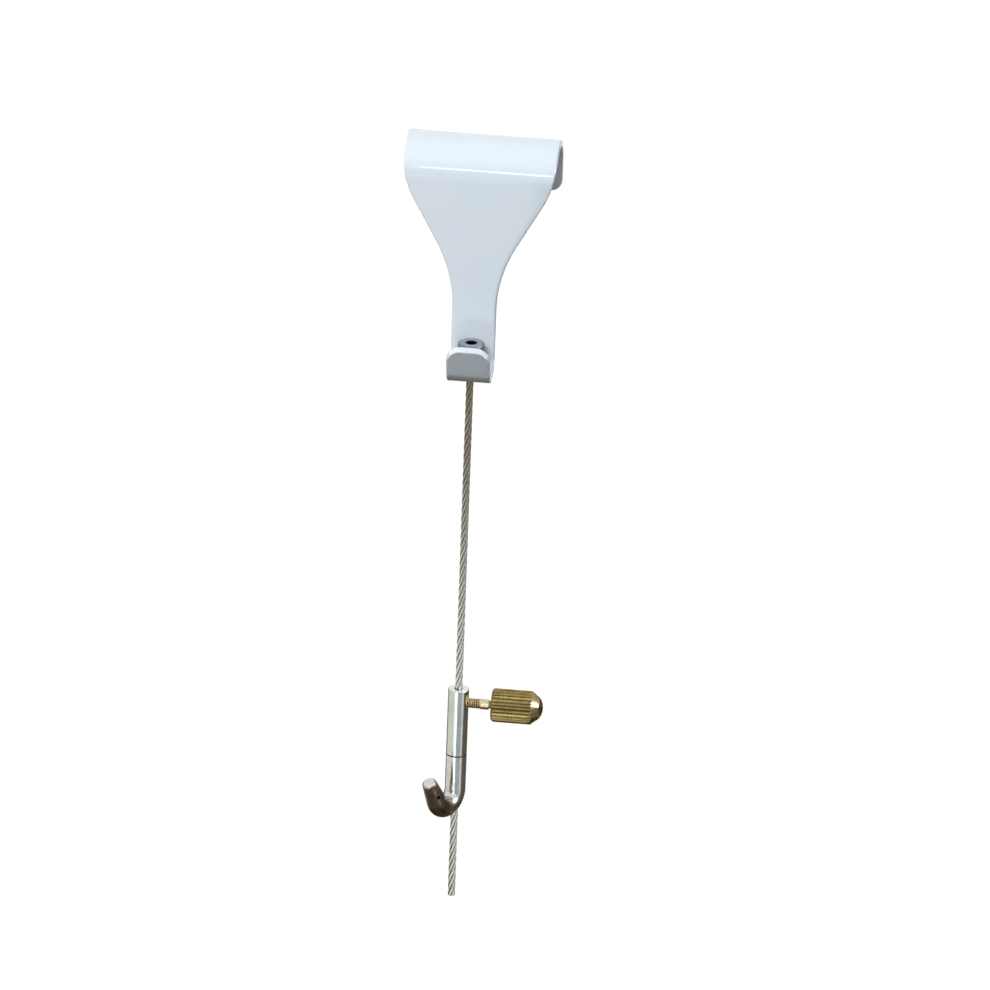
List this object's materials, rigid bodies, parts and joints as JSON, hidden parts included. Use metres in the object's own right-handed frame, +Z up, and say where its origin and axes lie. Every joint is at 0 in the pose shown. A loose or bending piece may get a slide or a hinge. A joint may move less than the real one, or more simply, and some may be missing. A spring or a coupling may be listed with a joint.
{
  "type": "picture rail hook",
  "caption": "White folded-strip picture rail hook with a hanging wire rope and an adjustable sliding hook, locked by a knurled brass thumb screw.",
  "frame": {"origin": "inside of the arch's crown, where it sits on the top of the rail, at mid width", "axes": "+X along the rail, +Y back towards the wall, +Z up; the cable hangs along -Z in front of the leg"},
  "size_m": [0.0425, 0.0349, 0.2095],
  "materials": {
    "white_coat": "gloss powder coat on steel strip",
    "grey_ferrule": "dull turned metal",
    "steel_wire": "stranded wire rope",
    "nickel_barrel": "bright nickel plate",
    "nickel_hook": "worn nickel plate",
    "brass": "turned and knurled brass"
  },
  "bodies": {
    "root": {"rail_hook": "white_coat", "cable_stop": "grey_ferrule", "cable": "steel_wire"},
    "slider": {"slider_barrel": "nickel_barrel", "slider_hook": "nickel_hook"},
    "screw": {"thumb_screw": "brass"}
  },
  "joints": [
    {"name": "slider_slide", "type": "slide", "parent": "root", "child": "slider", "axis": [0, 0, 1], "range_m": [-0.02, 0.085]},
    {"name": "thumb_screw_turn", "type": "hinge", "parent": "slider", "child": "screw", "pos_m": [0, -0.0133, -0.152], "axis": [1, 0, 0], "range_deg": [0, 720]}
  ]
}
